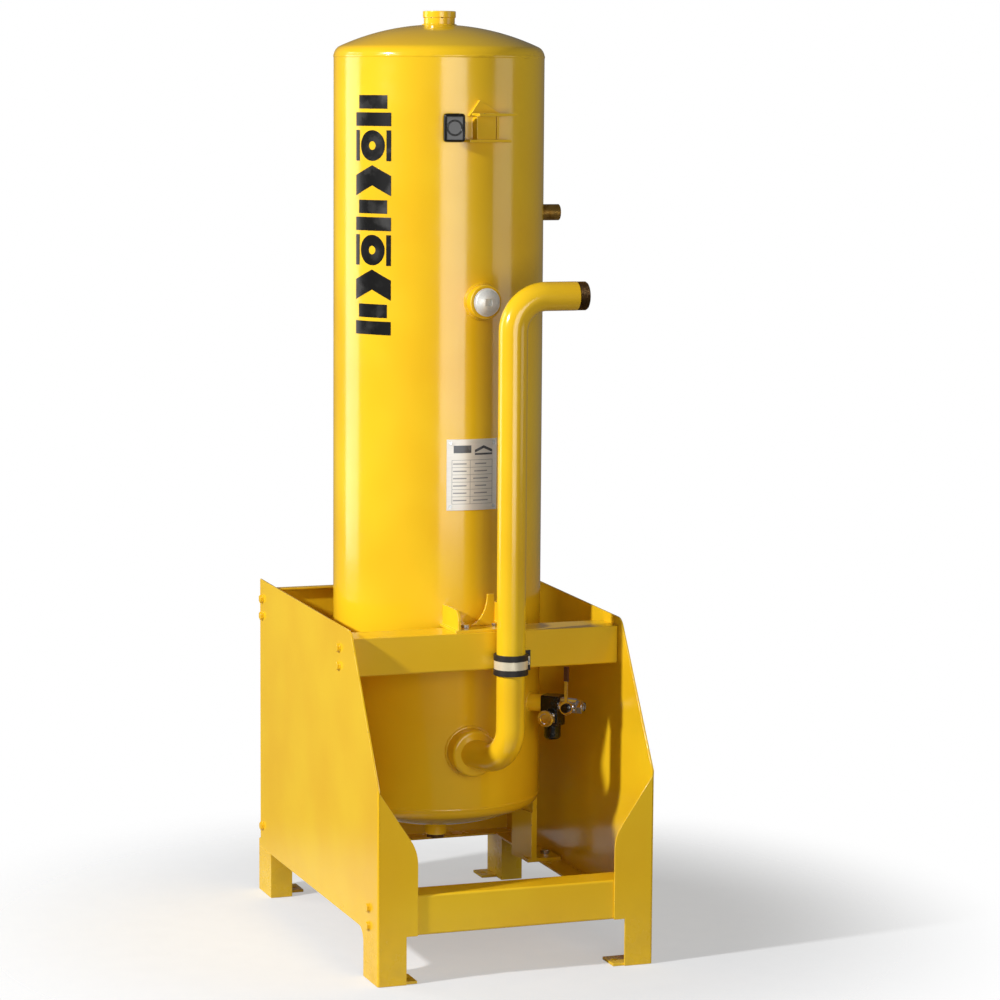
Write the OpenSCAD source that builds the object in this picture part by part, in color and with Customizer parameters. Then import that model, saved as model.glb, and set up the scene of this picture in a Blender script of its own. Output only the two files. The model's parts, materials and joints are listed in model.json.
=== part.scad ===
// Upright air receiver tank, standing in a folded sheet-steel frame, with its inlet
// pipe, inspection plug, bracket, and drain group.
// Millimetres. X is the frame's width, -Y the open front, +Z up. The origin is on the
// floor, in the middle of the frame's footprint.

/* [Tank] */
// Outer diameter of the tank
tank_d = 450; // [360:5:540]
// Length of the straight shell between the two heads
shell_l = 1590; // [900:10:2000]
// Wall thickness of the shell and heads
tank_wall = 4; // [3:0.5:8]
// Height of each dished head, from its seam to its crown
head_h = 68; // [55:1:110]
// Knuckle radius where a head turns into the shell
head_knuckle = 24; // [15:1:40]
// Height of the lower shell seam above the floor
shell_z = 284; // [260:2:400]

/* [Frame] */
// Overall width of the frame
frame_w = 600; // [560:5:760]
// Distance from the tank's axis to the frame's front plane
frame_front = 524; // [480:2:640]
// Distance from the tank's axis to the rear panel's outer face
frame_back = 350; // [320:2:460]
// Sheet thickness of the panels and rails
sheet_t = 4; // [2.5:0.5:6]
// Height of the side panels' top edge
panel_top = 700; // [620:5:900]
// How much higher the side panels' top edge is at the back
panel_rise = 13; // [0:1:40]
// Height of the side panels' bottom edge, which is the fork clearance
panel_bottom = 100; // [80:5:140]
// Height at which the sloping front edge meets the front plane
slope_z = 405; // [340:5:520]
// How far the top front corner stands behind the front plane
slope_run = 189; // [120:1:220]
// Width of the front legs, seen from the front
leg_w = 62; // [50:1:80]
// Width of the front flange above the legs
flange_w = 86; // [70:1:110]
// Depth of the legs, seen from the side
leg_d = 97; // [80:1:120]
// Width of the folded sill along each panel's bottom edge
sill_w = 50; // [40:1:60]
// Height of the rear panel's top edge
rear_top = 692; // [560:2:700]

/* [Rails] */
// Height of the top rail's web
top_rail_h = 80; // [60:1:100]
// Height of the top rail's lower edge
top_rail_z = 602; // [540:2:620]
// Gap between the tank's shell and the top rail's back edge
top_rail_gap = 15; // [5:1:60]
// Depth of the top rail
top_rail_d = 85; // [70:1:88]
// Height of the bottom rail's web
bottom_rail_h = 83; // [60:1:100]
// Depth of the bottom rail
bottom_rail_d = 72; // [66:1:80]

/* [Inlet pipe] */
// Outer diameter of the pipe
pipe_d = 60.3; // [48.3:0.1:76.1]
// Wall thickness of the pipe
pipe_wall = 2.9; // [2:0.1:5]
// Centreline radius of the two elbows
elbow_r = 72; // [60:1:90]
// Sideways distance from the tank's axis to the vertical pipe
pipe_x = 41; // [30:1:56]
// Height of the pipe's upper, horizontal run
pipe_top_z = 1383; // [900:1:1700]
// Sideways distance from the tank's axis to the pipe's open end
pipe_end_x = 200; // [160:1:280]
// Gap between the pipe and the top rail's front face
pipe_gap = 6.85; // [6.5:0.05:30]
// Height of the inlet boss
boss_z = 412; // [380:1:440]
// Diameter of the inlet boss
boss_d = 100; // [80:1:120]
// How far the boss's face stands out of the shell
boss_h = 36; // [25:1:60]

/* [Ports] */
// Diameter of the top socket
top_socket_d = 70; // [50:1:90]
// Bore of the top socket
top_socket_bore = 56.6; // [30:0.1:66]
// Height of the top socket above the crown
top_socket_h = 28; // [20:1:60]
// Height of the side socket
side_socket_z = 1542; // [900:1:1700]
// Diameter of the side socket
side_socket_d = 35; // [30:1:50]
// Bore of the side socket
side_socket_bore = 24.1; // [15:0.1:28]
// How far the side socket stands out of the shell
side_socket_l = 50; // [25:1:70]
// Angle of the inspection opening round the tank, from the front towards +X
inspection_angle = 5.4; // [-20:0.1:20]
// Height of the inspection opening
inspection_z = 1365; // [1100:1:1600]
// Angle of the capped gauge port
gauge_angle = -11.2; // [-30:0.1:0]
// Height of the capped gauge port
gauge_z = 1726; // [1500:1:1760]
// Angle of the hanging bracket
bracket_angle = 9.4; // [5:0.1:30]
// Height of the hanging bracket's shelf
bracket_z = 1750; // [1600:1:1780]
// Angle of the data plate
plate_angle = 0.5; // [-15:0.1:15]
// Height of the data plate's centre
plate_z = 1002; // [900:1:1200]
// Angle of the painted marking
marking_angle = -56.7; // [-90:0.1:-40]
// Height of the marking's centre
marking_z = 1543; // [1200:1:1560]

/* [Drain group] */
// Angle of the drain port round the tank
drain_angle = 45; // [40:1:50]
// Height of the drain port
drain_z = 497; // [440:1:520]
// Edge length of the drain block
block_w = 40; // [38:1:46]
// How far the block's plug and bowl sit below the port
block_drop = 26; // [0:1:40]
// Length of the dirt bowl below the block
bowl_l = 30; // [20:1:60]
// Length of the ball valve's body
valve_l = 52; // [50:1:64]
// Bore of the ball valve
valve_bore = 15; // [10:0.5:18]
// Diameter of the valve's ball
ball_d = 26; // [22:0.5:28]
// Length of the lever, from its pivot to its tip
lever_l = 88; // [50:1:100]

/* [Hidden] */
$fn = 96;

// Clearances
weld_gap = 0.1;
slip_gap = 0.25;
run_gap = 0.05;

// Places worked out from the driving sizes
rear_heel = 12;
tank_r = tank_d / 2;
tank_y = (frame_front - frame_back - rear_heel) / 2;
front_y = tank_y - frame_front;
back_y = tank_y + frame_back;
half_w = frame_w / 2;
inner_w = half_w - sheet_t;
shell_top = shell_z + shell_l;
crown_z = shell_top + head_h;
top_rail_front = tank_r + top_rail_gap + top_rail_d;
rail_y = tank_y - top_rail_front;
rail_top = top_rail_z + top_rail_h;

// Crown radius of a head that meets its knuckle tangentially
function crown_r(r, h, k) = (h * h + r * r - 2 * r * k) / (2 * (h - k));
crown = crown_r(tank_r, head_h, head_knuckle);

function unit(v) = v / norm(v);

// Points of an arc of radius r that rounds the corner b between a and c
function corner(a, b, c, r, n) =
    let (u = unit(a - b), v = unit(c - b), half = acos(u * v) / 2,
        o = b + unit(u + v) * r / sin(half),
        p = b + u * r / tan(half) - o, q = b + v * r / tan(half) - o,
        start = atan2(p[1], p[0]),
        turn = atan2(p[0] * q[1] - p[1] * q[0], p * q))
    [for (i = [0:n]) o + r * [cos(start + turn * i / n), sin(start + turn * i / n)]];

// Outline whose corners [x, y, r] are rounded where r is above 0
function rounded(pts, n = 8) = [for (i = [0:len(pts) - 1])
    let (l = len(pts), a = pts[(i + l - 1) % l], b = pts[i], c = pts[(i + 1) % l])
    each b[2] > 0
        ? corner([a[0], a[1]], [b[0], b[1]], [c[0], c[1]], b[2], n)
        : [[b[0], b[1]]]];

// Half profile of a dished solid of radius r, height h and knuckle k, seam at z = 0
function dish(r, h, k) =
    let (cr = crown_r(r, h, k), sweep = asin((r - k) / (cr - k)), steps = 24, bend = 10)
    concat([[0, 0], [r, 0]],
        [for (i = [1:bend - 1]) let (a = (90 - sweep) * i / bend)
            [r - k + k * cos(a), k * sin(a)]],
        [for (i = [0:steps - 1]) let (a = sweep * (1 - i / steps))
            [cr * sin(a), h - cr + cr * cos(a)]],
        [[0, h]]);

// Local frame on the tank: Z points out of the shell, Y up, X round towards +X
module on_tank(angle, z) {
    translate([0, tank_y, z]) rotate([0, 0, angle]) rotate([90, 0, 0]) children();
}

// The tank's outer cylinder, grown by gap, for seating parts on the shell
module tank_space(gap = weld_gap) {
    translate([0, tank_y, 0]) cylinder(r = tank_r + gap, h = shell_top, $fn = 180);
}

module tube(r_out, r_in, h) {
    difference() {
        cylinder(r = r_out, h = h);
        translate([0, 0, -1]) cylinder(r = r_in, h = h + 2);
    }
}

// Hexagonal prism with the given width across flats
module hexagon(flats, h) {
    cylinder(d = flats / cos(30), h = h, $fn = 6);
}

module mirrored_x() {
    mirror([1, 0, 0]) children();
}

// Hex bolt along +Z: the head below z = 0, the shank above it, the nut's face at grip
module bolt(d, grip) {
    head_h = d * 0.64;
    nut_h = d * 0.8;
    translate([0, 0, -head_h]) hexagon(d * 1.6, head_h);
    cylinder(d = d, h = grip + nut_h + 2);
    translate([0, 0, grip]) hexagon(d * 1.6, nut_h);
}

// ---- Tank ----

module head() {
    difference() {
        rotate_extrude($fn = 180) polygon(dish(tank_r, head_h, head_knuckle));
        translate([0, 0, -0.01]) rotate_extrude($fn = 180)
            polygon(dish(tank_r - tank_wall, head_h - tank_wall, head_knuckle - tank_wall));
    }
}

boss_hole = pipe_d - 2 * pipe_wall;
inspection_hole = 50;
gauge_hole = 21;
port_hole = 19;

// Quarter of the rolled shell, with its middle at the given angle from the front
module shell_quarter(angle) {
    color("gold") difference() {
        translate([0, tank_y, shell_z]) rotate([0, 0, angle - 135])
            rotate_extrude(angle = 90, $fn = 180)
                translate([tank_r - tank_wall, 0]) square([tank_wall, shell_l]);
        on_tank(0, boss_z) cylinder(d = boss_hole, h = 2 * tank_r);
        on_tank(90, side_socket_z) cylinder(d = side_socket_bore, h = 2 * tank_r);
        on_tank(inspection_angle, inspection_z) cylinder(d = inspection_hole, h = 2 * tank_r);
        on_tank(gauge_angle, gauge_z) cylinder(d = gauge_hole, h = 2 * tank_r);
        on_tank(drain_angle, drain_z) cylinder(d = port_hole, h = 2 * tank_r);
    }
}

module shell_front() {
    shell_quarter(0);
}

module shell_right() {
    shell_quarter(90);
}

module shell_back() {
    shell_quarter(180);
}

module shell_left() {
    shell_quarter(270);
}

module top_head() {
    color("gold") difference() {
        translate([0, tank_y, shell_top]) head();
        translate([0, tank_y, shell_top]) cylinder(d = top_socket_bore, h = head_h + 1);
    }
}

drain_hole = 33.3;

module bottom_head() {
    color("goldenrod") difference() {
        translate([0, tank_y, shell_z]) mirror([0, 0, 1]) head();
        translate([0, tank_y, shell_z - head_h - 1]) cylinder(d = drain_hole, h = head_h);
    }
}

// Socket whose foot is cut to the crown of a head, with its mouth at height h
module crown_socket(d, bore, h) {
    difference() {
        translate([0, 0, -head_h / 2]) cylinder(d = d, h = h + head_h / 2);
        translate([0, 0, -head_h]) cylinder(d = bore, h = h + head_h + 1);
        translate([0, 0, -crown]) sphere(r = crown + weld_gap, $fn = 180);
    }
}

module top_socket() {
    neck = 4;
    color("gold") translate([0, tank_y, crown_z]) difference() {
        crown_socket(top_socket_d, top_socket_bore, top_socket_h);
        translate([0, 0, -head_h / 2]) difference() {
            cylinder(d = top_socket_d + 2, h = head_h / 2 + top_socket_h / 2);
            cylinder(d = top_socket_d - neck, h = head_h / 2 + top_socket_h / 2);
        }
    }
}

drain_socket_d = 48;
drain_socket_h = 30;

module drain_socket() {
    color("goldenrod") translate([0, tank_y, shell_z - head_h]) mirror([0, 0, 1])
        crown_socket(drain_socket_d, drain_hole, drain_socket_h);
}

module drain_plug() {
    plug_l = 20;
    color("dimgray") translate([0, tank_y, shell_z - head_h - drain_socket_h]) {
        translate([0, 0, -8]) hexagon(36, 8);
        cylinder(d = drain_hole - 2 * run_gap, h = plug_l);
    }
}

// Radial socket seated on the shell, open through its bore
module shell_socket(angle, z, d, bore, l) {
    difference() {
        on_tank(angle, z) translate([0, 0, tank_r / 2]) cylinder(d = d, h = tank_r / 2 + l);
        on_tank(angle, z) cylinder(d = bore, h = 2 * tank_r);
        tank_space();
    }
}

module side_socket() {
    color("darkgoldenrod")
        shell_socket(90, side_socket_z, side_socket_d, side_socket_bore, side_socket_l);
}

gauge_socket_l = 14;

module gauge_socket() {
    color("gold") shell_socket(gauge_angle, gauge_z, 34, gauge_hole, gauge_socket_l);
}

module gauge_cap() {
    cap_w = 46;
    cap_h = 60;
    cap_t = 20;
    cap_r = 13;
    w = cap_w / 2;
    h = cap_h / 2;
    color("#1b1b1b") on_tank(gauge_angle, gauge_z) translate([0, 0, tank_r + gauge_socket_l]) {
        linear_extrude(cap_t)
            polygon(rounded([[-w, -h, cap_r], [w, -h, cap_r], [w, h, cap_r], [-w, h, cap_r]]));
        translate([0, 0, -10]) cylinder(d = gauge_hole - 2 * run_gap, h = 10);
    }
}

inspection_socket_l = 22;
seal_t = 1.5;

module inspection_socket() {
    color("gold") shell_socket(inspection_angle, inspection_z, 72, inspection_hole,
        inspection_socket_l);
}

module inspection_seal() {
    color("black") on_tank(inspection_angle, inspection_z)
        translate([0, 0, tank_r + inspection_socket_l])
            tube(inspection_hole / 2 + 4, inspection_hole / 2, seal_t);
}

module inspection_plug() {
    flange_d = inspection_hole + 9;
    key_w = 14;
    dome_h = 9;
    color("silver") on_tank(inspection_angle, inspection_z)
        translate([0, 0, tank_r + inspection_socket_l + seal_t]) difference() {
            union() {
                translate([0, 0, -16]) cylinder(d = inspection_hole - 2 * run_gap, h = 16);
                cylinder(d = flange_d, h = 3);
                translate([0, 0, 3]) rotate_extrude() polygon(dish(flange_d / 2 - 3, dome_h, 3));
            }
            translate([-key_w / 2, -key_w / 2, 2]) cube([key_w, key_w, dome_h + 4]);
        }
}

module hanging_bracket() {
    shelf_w = 90;
    shelf_out = tank_r + 38;
    ledge_left = 58;
    plate_t = 6;
    web_h = 48;
    peak = 33;
    color("gold") difference() {
        on_tank(bracket_angle, bracket_z) {
            // Shelf, and the ledge below it
            translate([-shelf_w / 2, 0, tank_r / 2]) cube([shelf_w, plate_t, shelf_out - tank_r / 2]);
            translate([-ledge_left, -web_h - plate_t, tank_r / 2])
                cube([ledge_left + shelf_w / 2 - 4, plate_t, shelf_out - 16 - tank_r / 2]);
            // Upright webs that join them
            for (x = [-shelf_w / 2 + 6, 8])
                translate([x, -web_h - 1, tank_r / 2])
                    cube([plate_t, web_h + 2, shelf_out - 22 - tank_r / 2]);
            // Front web
            translate([-shelf_w / 2 + 6, -web_h - 1, tank_r + 10])
                cube([shelf_w / 2, web_h + 2, plate_t]);
            // Peaked back plate above the shelf
            translate([0, 0, tank_r - 12]) linear_extrude(18)
                polygon([[-shelf_w / 2 - 6, 1], [shelf_w / 2 - 16, 1], [-shelf_w / 2 + 18, peak]]);
        }
        tank_space();
    }
}

// Thin sheet bent round the shell: a ring segment of the given width and height
module curved_sheet(angle, z, w, h, gap, t) {
    sweep = w / tank_r * 180 / PI;
    translate([0, tank_y, z - h / 2]) rotate([0, 0, -90 + angle - sweep / 2])
        rotate_extrude(angle = sweep, $fn = 180)
            translate([tank_r + gap, 0]) square([t, h]);
}

plate_w = 112;
plate_h = 150;
plate_t = 1.2;

module data_plate() {
    color("silver") difference() {
        curved_sheet(plate_angle, plate_z, plate_w, plate_h, weld_gap, plate_t);
        plate_corners(4.2);
    }
}

// Cylinders of diameter d at the plate's four corners, from the shell outwards
module plate_corners(d, from = 0, h = 20) {
    inset = 8;
    sweep = (plate_w / 2 - inset) / tank_r * 180 / PI;
    for (side = [-1, 1], up = [-1, 1])
        on_tank(plate_angle + side * sweep, plate_z + up * (plate_h / 2 - inset))
            translate([0, 0, tank_r + from]) cylinder(d = d, h = h, $fn = 24);
}

module plate_studs() {
    color("gray") difference() {
        union() {
            plate_corners(4, -2, 2 + plate_t + 0.4);
            plate_corners(8, weld_gap + plate_t, 2);
        }
        tank_space(0.05);
    }
}

marking_w = 94;
marking_h = 500;

module marking() {
    color("black")
        curved_sheet(marking_angle, marking_z, marking_w, marking_h, weld_gap, 0.6);
}

// ---- Inlet pipe ----

pipe_r = pipe_d / 2;
pipe_y = rail_y - pipe_gap - pipe_r;
boss_face = tank_r + boss_h;
pipe_run = norm([pipe_x, pipe_y - (tank_y - boss_face)]);
pipe_turn = atan2(pipe_x, tank_y - boss_face - pipe_y);
nipple_l = 22;

module inlet_boss() {
    edge = 7;
    face = boss_face - tank_r / 2;
    color("gold") difference() {
        on_tank(0, boss_z) translate([0, 0, tank_r / 2]) rotate_extrude()
            polygon(rounded([[boss_hole / 2, 0, 0], [boss_d / 2, 0, 0],
                [boss_d / 2, face, edge], [boss_hole / 2, face, 0]]));
        tank_space();
    }
}

// Quarter bend of the pipe in its own XY plane, about the origin
module pipe_bend() {
    rotate_extrude(angle = 90) translate([elbow_r, 0]) difference() {
        circle(r = pipe_r);
        circle(r = pipe_r - pipe_wall);
    }
}

// Oblique leg out of the boss, mitred to the boss's face
module pipe_stub() {
    color("gold") difference() {
        translate([pipe_x, pipe_y, boss_z]) rotate([0, 0, pipe_turn])
            translate([0, elbow_r, 0]) rotate([-90, 0, 0])
                tube(pipe_r, pipe_r - pipe_wall, pipe_run - elbow_r + 20);
        translate([-tank_r, tank_y - boss_face, boss_z - tank_r]) cube(tank_d);
    }
}

module lower_elbow() {
    color("gold") translate([pipe_x, pipe_y, boss_z]) rotate([0, 0, pipe_turn])
        translate([0, elbow_r, elbow_r]) rotate([0, 90, 0]) rotate([0, 0, -90]) pipe_bend();
}

module pipe_riser() {
    color("gold") translate([pipe_x, pipe_y, boss_z + elbow_r])
        tube(pipe_r, pipe_r - pipe_wall, pipe_top_z - boss_z - 2 * elbow_r);
}

module upper_elbow() {
    color("gold") translate([pipe_x + elbow_r, pipe_y, pipe_top_z - elbow_r])
        rotate([90, 0, 0]) rotate([0, 0, 90]) pipe_bend();
}

module pipe_run_out() {
    color("gold") translate([pipe_x + elbow_r, pipe_y, pipe_top_z]) rotate([0, 90, 0])
        tube(pipe_r, pipe_r - pipe_wall, pipe_end_x - nipple_l - pipe_x - elbow_r);
}

module pipe_end_nipple() {
    color("dimgray") translate([pipe_end_x - nipple_l, pipe_y, pipe_top_z]) rotate([0, 90, 0])
        tube(pipe_r - 0.3, pipe_r - pipe_wall, nipple_l);
}

// ---- Pipe clamp ----

clamp_z = top_rail_z + 17;
clamp_h = 43;
band_h = 18;
rubber_t = 3.2;
band_t = 1.6;
lip_t = rubber_t + 3;
ear_l = 26;
ear_y = rail_y - 2.8;
clamp_bolt_d = 8;
clamp_bolt_x = pipe_x + pipe_r + 16;

module clamp_rubber() {
    lip_h = (clamp_h - band_h) / 2 - slip_gap;
    r_in = pipe_r + weld_gap;
    pad_x = pipe_x + 9;
    color("#202020") difference() {
        union() {
            translate([pipe_x, pipe_y, clamp_z - clamp_h / 2]) {
                tube(pipe_r + rubber_t, r_in, clamp_h);
                tube(pipe_r + lip_t, r_in, lip_h);
                translate([0, 0, clamp_h - lip_h]) tube(pipe_r + lip_t, r_in, lip_h);
            }
            translate([pad_x, ear_y + slip_gap, clamp_z - clamp_h / 2])
                cube([pipe_x + pipe_r + ear_l - pad_x, rail_y - ear_y - slip_gap - weld_gap, clamp_h]);
        }
        translate([pipe_x, pipe_y, clamp_z - clamp_h / 2 - 1]) cylinder(r = r_in, h = clamp_h + 2);
        // Seat for the band between the lips
        translate([pipe_x, pipe_y, clamp_z - band_h / 2 - slip_gap]) difference() {
            cylinder(r = pipe_r + rubber_t + band_t + 2 * slip_gap, h = band_h + 2 * slip_gap);
            cylinder(r = pipe_r + rubber_t, h = band_h + 2 * slip_gap);
        }
        clamp_bolt_hole();
        // Nothing passes into the rail's face
        translate([0, rail_y - weld_gap, clamp_z - clamp_h]) cube([tank_d, 40, 2 * clamp_h]);
    }
}

module clamp_bolt_hole() {
    translate([clamp_bolt_x, rail_y - 40, clamp_z]) rotate([-90, 0, 0])
        cylinder(d = clamp_bolt_d + 1, h = 80);
}

module clamp_band() {
    r_in = pipe_r + rubber_t + slip_gap / 2;
    color("gainsboro") difference() {
        union() {
            translate([pipe_x, pipe_y, clamp_z - band_h / 2]) tube(r_in + band_t, r_in, band_h);
            translate([pipe_x + 12, ear_y - 2, clamp_z - band_h / 2])
                cube([pipe_r + ear_l - 14, 2, band_h]);
        }
        translate([pipe_x, pipe_y, clamp_z - band_h]) cylinder(r = r_in, h = 2 * band_h);
        clamp_bolt_hole();
    }
}

module clamp_bolt() {
    color("silver") translate([clamp_bolt_x, ear_y - 2, clamp_z]) rotate([-90, 0, 0])
        bolt(clamp_bolt_d, 2 + rail_y - ear_y + sheet_t);
}

// ---- Frame ----

frame_bolt_d = 10;
frame_bolt_hole = 11;
bolt_pitch = 38;
rail_bolt_y = rail_y + top_rail_d - 16;
foot_bolt_y = front_y + 60;
back_bolt_y = back_y - 19;
top_bolt_z = top_rail_z + 14;
low_bolt_z = panel_bottom + 14;
back_bolt_z = rear_top - 60;

// [y, z] of each bolt through a side panel
function panel_bolts() = concat(
    [for (i = [0, 1]) [rail_bolt_y, top_bolt_z + i * bolt_pitch]],
    [for (i = [0, 1]) [foot_bolt_y, low_bolt_z + i * bolt_pitch]],
    [for (i = [0, 1]) [back_bolt_y, back_bolt_z + i * bolt_pitch]],
    [[back_bolt_y, low_bolt_z + bolt_pitch]]);

module frame_bolt_holes() {
    for (p = panel_bolts()) translate([-half_w - 20, p[0], p[1]]) rotate([0, 90, 0])
        cylinder(d = frame_bolt_hole, h = frame_w + 40);
}

sill_bolt_x = half_w - sheet_t - 25;
sill_bolt_d = 12;

// One folded side panel: web, sloping front, front flange with its leg, and sill
module side_panel() {
    slope_y = front_y + slope_run;
    flange_in = half_w - flange_w;
    leg_in = half_w - leg_w;
    rear_stop = back_y - sill_w - 4;
    color("gold") difference() {
        union() {
            translate([-half_w, 0, 0]) rotate([90, 0, 90]) linear_extrude(sheet_t)
                polygon(rounded([[back_y, panel_top + panel_rise, 0], [slope_y, panel_top, 34],
                    [front_y, slope_z, 0], [front_y, 0, 0], [front_y + leg_d, 0, 0],
                    [front_y + leg_d, panel_bottom, 30], [back_y, panel_bottom, 0]]));
            translate([0, front_y + sheet_t, 0]) rotate([90, 0, 0]) linear_extrude(sheet_t)
                polygon(rounded([[-half_w, 0, 0], [-leg_in, 0, 0], [-leg_in, panel_bottom, 0],
                    [-flange_in, panel_bottom, 0], [-flange_in, slope_z - 130, 90],
                    [-half_w, slope_z, 0]]));
            translate([-half_w, front_y + leg_d, panel_bottom])
                cube([sheet_t + sill_w, rear_stop - front_y - leg_d, sheet_t]);
        }
        frame_bolt_holes();
        translate([-sill_bolt_x, tank_leg_y, 0]) cylinder(d = sill_bolt_d + 1, h = panel_top / 2);
    }
}

module left_side_panel() {
    side_panel();
}

module right_side_panel() {
    mirrored_x() side_panel();
}

// Channel rail open to the rear, with end tabs; its front lower edge is on y = 0, z = 0
module rail(h, d) {
    l = 2 * (inner_w - slip_gap);
    translate([-l / 2, 0, 0]) cube([l, sheet_t, h]);
    for (z = [0, h - sheet_t]) translate([-l / 2, 0, z]) cube([l, d, sheet_t]);
    for (x = [-l / 2, l / 2 - sheet_t]) translate([x, 0, 0]) cube([sheet_t, d, h]);
}

module top_rail() {
    color("goldenrod") difference() {
        translate([0, rail_y, top_rail_z]) rail(top_rail_h, top_rail_d);
        frame_bolt_holes();
        clamp_bolt_hole();
        stay_bolt_places() translate([0, 0, -20]) cylinder(d = frame_bolt_hole, h = 40);
    }
}

module bottom_rail() {
    color("goldenrod") difference() {
        translate([0, front_y + sheet_t + slip_gap, panel_bottom]) rail(bottom_rail_h, bottom_rail_d);
        frame_bolt_holes();
    }
}

module rear_panel() {
    w = inner_w - slip_gap;
    edge = 40;
    color("goldenrod") difference() {
        union() {
            translate([-w, back_y - sheet_t, panel_bottom])
                cube([2 * w, sheet_t, rear_top - panel_bottom]);
            for (x = [-w, w - sheet_t]) translate([x, back_y - edge, panel_bottom])
                cube([sheet_t, edge, rear_top - panel_bottom]);
            translate([-w, back_y - sill_w, panel_bottom]) cube([2 * w, sill_w, sheet_t]);
            translate([-w, back_y - 20, rear_top - sheet_t]) cube([2 * w, 20, sheet_t]);
        }
        frame_bolt_holes();
    }
}

rear_leg_w = 50;

// Closed box foot under a rear corner, with a heel that laps behind the rear panel
module rear_leg() {
    wall = 4;
    lap = 18;
    color("goldenrod") translate([-half_w, back_y + rear_heel - leg_d, 0]) {
        difference() {
            cube([rear_leg_w, leg_d, panel_bottom - weld_gap]);
            translate([wall, wall, -1])
                cube([rear_leg_w - 2 * wall, leg_d - 2 * wall, panel_bottom - wall]);
        }
        translate([0, leg_d - rear_heel + slip_gap, panel_bottom - 10])
            cube([rear_leg_w, rear_heel - slip_gap, lap + 10]);
    }
}

module left_rear_leg() {
    rear_leg();
}

module right_rear_leg() {
    mirrored_x() rear_leg();
}

anchor_x = half_w - leg_w - 10;
anchor_d = 14;
foot_t = 6;
foot_edge = 14;
foot_l = 60;

// Drilled floor plates inside the four legs
module floor_plates() {
    color("goldenrod") for (side = [0, 1]) mirror([side, 0, 0]) {
        difference() {
            translate([-inner_w + weld_gap, front_y + sheet_t + weld_gap, 0])
                cube([inner_w - weld_gap - anchor_x + foot_edge, foot_l, foot_t]);
            translate([-anchor_x, front_y + foot_l / 2 + sheet_t, -1])
                cylinder(d = anchor_d, h = foot_t + 2);
        }
        difference() {
            translate([-half_w + rear_leg_w + weld_gap, back_y + rear_heel - foot_l - 4, 0])
                cube([half_w - rear_leg_w - weld_gap - anchor_x + foot_edge, foot_l, foot_t]);
            translate([-anchor_x, back_y + rear_heel - foot_l / 2 - 4, -1])
                cylinder(d = anchor_d, h = foot_t + 2);
        }
    }
}

module frame_bolts() {
    color("khaki") for (p = panel_bolts()) translate([-half_w, p[0], p[1]])
        rotate([0, 90, 0]) bolt(frame_bolt_d, 2 * sheet_t + slip_gap);
}

module left_frame_bolts() {
    frame_bolts();
}

module right_frame_bolts() {
    mirrored_x() frame_bolts();
}

// ---- Tank supports ----

tank_leg_angle = 100;
tank_leg_w = 88;
tank_leg_y = tank_y - tank_r * cos(tank_leg_angle);
foot_plate_t = 8;

// Leg plate on the tank's -X side, with a foot bolted to the sill
module tank_leg() {
    foot_z = panel_bottom + sheet_t;
    lap = 60;
    color("goldenrod") difference() {
        union() {
            translate([0, tank_y, foot_z]) rotate([0, 0, -tank_leg_angle])
                translate([-tank_leg_w / 2, -tank_r - 7, 0])
                    cube([tank_leg_w, 14, shell_z + lap - foot_z]);
            translate([-inner_w + 3, tank_leg_y - tank_leg_w / 2, foot_z])
                cube([inner_w - tank_r + 8, tank_leg_w, foot_plate_t]);
        }
        translate([0, tank_y, shell_z - head_h]) cylinder(r = tank_r + weld_gap, h = shell_top, $fn = 180);
        translate([-sill_bolt_x, tank_leg_y, 0]) cylinder(d = sill_bolt_d + 1, h = panel_top / 2);
    }
}

module left_tank_leg() {
    tank_leg();
}

module right_tank_leg() {
    mirrored_x() tank_leg();
}

module tank_leg_bolts() {
    color("gray") for (side = [-1, 1])
        translate([side * sill_bolt_x, tank_leg_y, panel_bottom + sheet_t + foot_plate_t])
            mirror([0, 0, 1]) bolt(sill_bolt_d, sheet_t + foot_plate_t);
}

stay_w = 132;
stay_t = 6;
stay_ear_x = 58;
stay_ear_h = 47;
stay_front = top_rail_front - 4;
stay_bolt_x = 34;

module stay_bolt_places() {
    for (side = [-1, 1])
        translate([side * stay_bolt_x, rail_y + 38, rail_top]) children();
}

// Base plate on the top rail with two upright ears that hold the tank
module tank_stay() {
    color("gold") difference() {
        union() {
            translate([-stay_w / 2, tank_y - stay_front, rail_top]) cube([stay_w, stay_front, stay_t]);
            for (side = [-1, 1]) translate([side * stay_ear_x - stay_t / 2, tank_y, rail_top])
                rotate([90, 0, 90]) linear_extrude(stay_t)
                    polygon(rounded([[-stay_front, 0, 0], [0, 0, 0],
                        [0, stay_ear_h, 0], [-stay_front, stay_ear_h, 22]]));
        }
        tank_space();
        stay_bolt_places() cylinder(d = frame_bolt_hole, h = 2 * stay_t, center = true);
    }
}

// Gusset with a hollow side, standing across the stay behind the pipe
module stay_gusset() {
    left = -20;
    width = 56;
    hollow = 41;
    rise = 66;
    steps = 12;
    color("gold") translate([left, rail_y + 54 + stay_t, rail_top + stay_t]) rotate([90, 0, 0])
        linear_extrude(stay_t) polygon(concat([[width, 0]],
            [for (i = [0:steps]) let (a = 90 * i / steps)
                [hollow * sin(a), 2 + (rise - 2) * (1 - cos(a))]],
            [[width, rise]]));
}

module stay_bolts() {
    color("gray") stay_bolt_places() translate([0, 0, stay_t]) mirror([0, 0, 1])
        bolt(frame_bolt_d, stay_t + sheet_t);
}

// ---- Drain group: local Z runs out of the shell at the drain port ----

socket_l = 34;
block_z = tank_r + socket_l;
valve_z = block_z + block_w;
ball_z = valve_z + valve_l / 2;
nipple_d = 21;
nipple_in = 10;
seat_t = 3;
stem_d = 8;
valve_r = 17;
stem_seat = 25;
thread_d = 16;

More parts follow.
